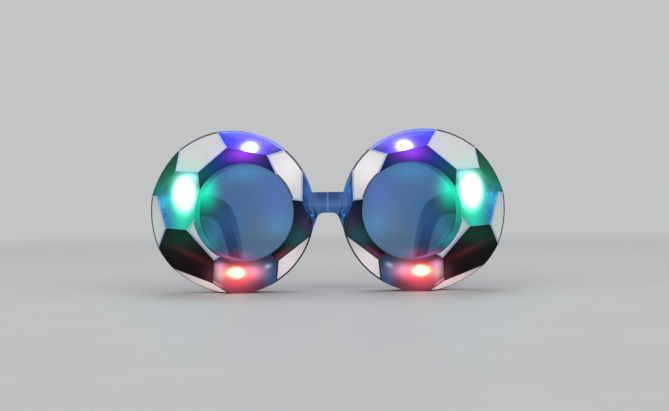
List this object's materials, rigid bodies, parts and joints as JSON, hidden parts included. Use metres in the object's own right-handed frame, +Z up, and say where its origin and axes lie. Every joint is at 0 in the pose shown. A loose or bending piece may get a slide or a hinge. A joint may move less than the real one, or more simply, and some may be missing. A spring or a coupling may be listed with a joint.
{
  "type": "light-up party glasses",
  "caption": "Novelty glasses with round faceted football fronts, tinted lenses, lamps in the shells, battery pockets and folding temples.",
  "frame": {"origin": "on the surface the glasses stand on, under the middle of their box with the temples open", "axes": "+X towards the left-hand side of the wearer, which is the right-hand side in a view from in front; +Y towards the back, where the temples run; +Z up"},
  "size_m": [0.1496, 0.1584, 0.0687],
  "materials": {
    "clear_blue_plastic": "clear light blue, gloss, with gloss black and white painted facets",
    "lens_tint": "clear grey-blue tint, polished",
    "dark_blue_plastic": "see-through dark blue, gloss",
    "temple_plastic": "see-through dark blue, gloss",
    "board_laminate": "green solder mask",
    "black_plastic": "moulded black",
    "button_plastic": "moulded off-white",
    "violet_lamp": "clear epoxy, lit violet",
    "green_lamp": "clear epoxy, lit green",
    "red_lamp": "clear epoxy, lit red",
    "lead_cover": "soft red insulation",
    "screw_steel": "zinc plated",
    "cell_steel": "brushed nickel-plated can",
    "contact_brass": "bright spring brass"
  },
  "bodies": {
    "front": {"front_frame": "clear_blue_plastic", "left_lens": "lens_tint", "left_back_cover": "dark_blue_plastic", "left_circuit_board": "board_laminate", "left_board_screw": "screw_steel", "left_tact_switch": "black_plastic", "left_led_top": "violet_lamp", "left_led_outer": "green_lamp", "left_led_bottom": "red_lamp", "left_lead_top": "lead_cover", "left_lead_bottom": "lead_cover", "left_coin_cell": "cell_steel", "left_contact_minus": "contact_brass", "left_contact_plus": "contact_brass", "left_battery_door": "dark_blue_plastic", "left_battery_door_screw": "screw_steel", "left_hinge_pin": "screw_steel", "left_cover_screw_top": "screw_steel", "left_cover_screw_inner": "screw_steel", "left_cover_screw_bottom": "screw_steel", "right_lens": "lens_tint", "right_back_cover": "dark_blue_plastic", "right_circuit_board": "board_laminate", "right_board_screw": "screw_steel", "right_tact_switch": "black_plastic", "right_led_top": "violet_lamp", "right_led_outer": "green_lamp", "right_led_bottom": "red_lamp", "right_lead_top": "lead_cover", "right_lead_bottom": "lead_cover", "right_coin_cell": "cell_steel", "right_contact_minus": "contact_brass", "right_contact_plus": "contact_brass", "right_battery_door": "dark_blue_plastic", "right_battery_door_screw": "screw_steel", "right_hinge_pin": "screw_steel", "right_cover_screw_top": "screw_steel", "right_cover_screw_inner": "screw_steel", "right_cover_screw_bottom": "screw_steel"},
    "left_temple": {"left_temple": "temple_plastic"},
    "left_push_button": {"left_push_button": "button_plastic"},
    "right_temple": {"right_temple": "temple_plastic"},
    "right_push_button": {"right_push_button": "button_plastic"}
  },
  "joints": [
    {"name": "left_temple_fold", "type": "hinge", "parent": "front", "child": "left_temple", "pos_m": [-0.0697, -0.05567, 0.0391], "axis": [0, 0, -1], "range_deg": [0, 81]},
    {"name": "right_temple_fold", "type": "hinge", "parent": "front", "child": "right_temple", "pos_m": [0.0697, -0.05567, 0.0391], "axis": [0, 0, 1], "range_deg": [0, 71]},
    {"name": "left_button_press", "type": "slide", "parent": "front", "child": "left_push_button", "axis": [0, -1, 0], "range_m": [0, 0.0004], "stiffness_N_per_m": 1500, "springref_m": -0.0002},
    {"name": "right_button_press", "type": "slide", "parent": "front", "child": "right_push_button", "axis": [0, -1, 0], "range_m": [0, 0.0004], "stiffness_N_per_m": 1500, "springref_m": -0.0002}
  ]
}
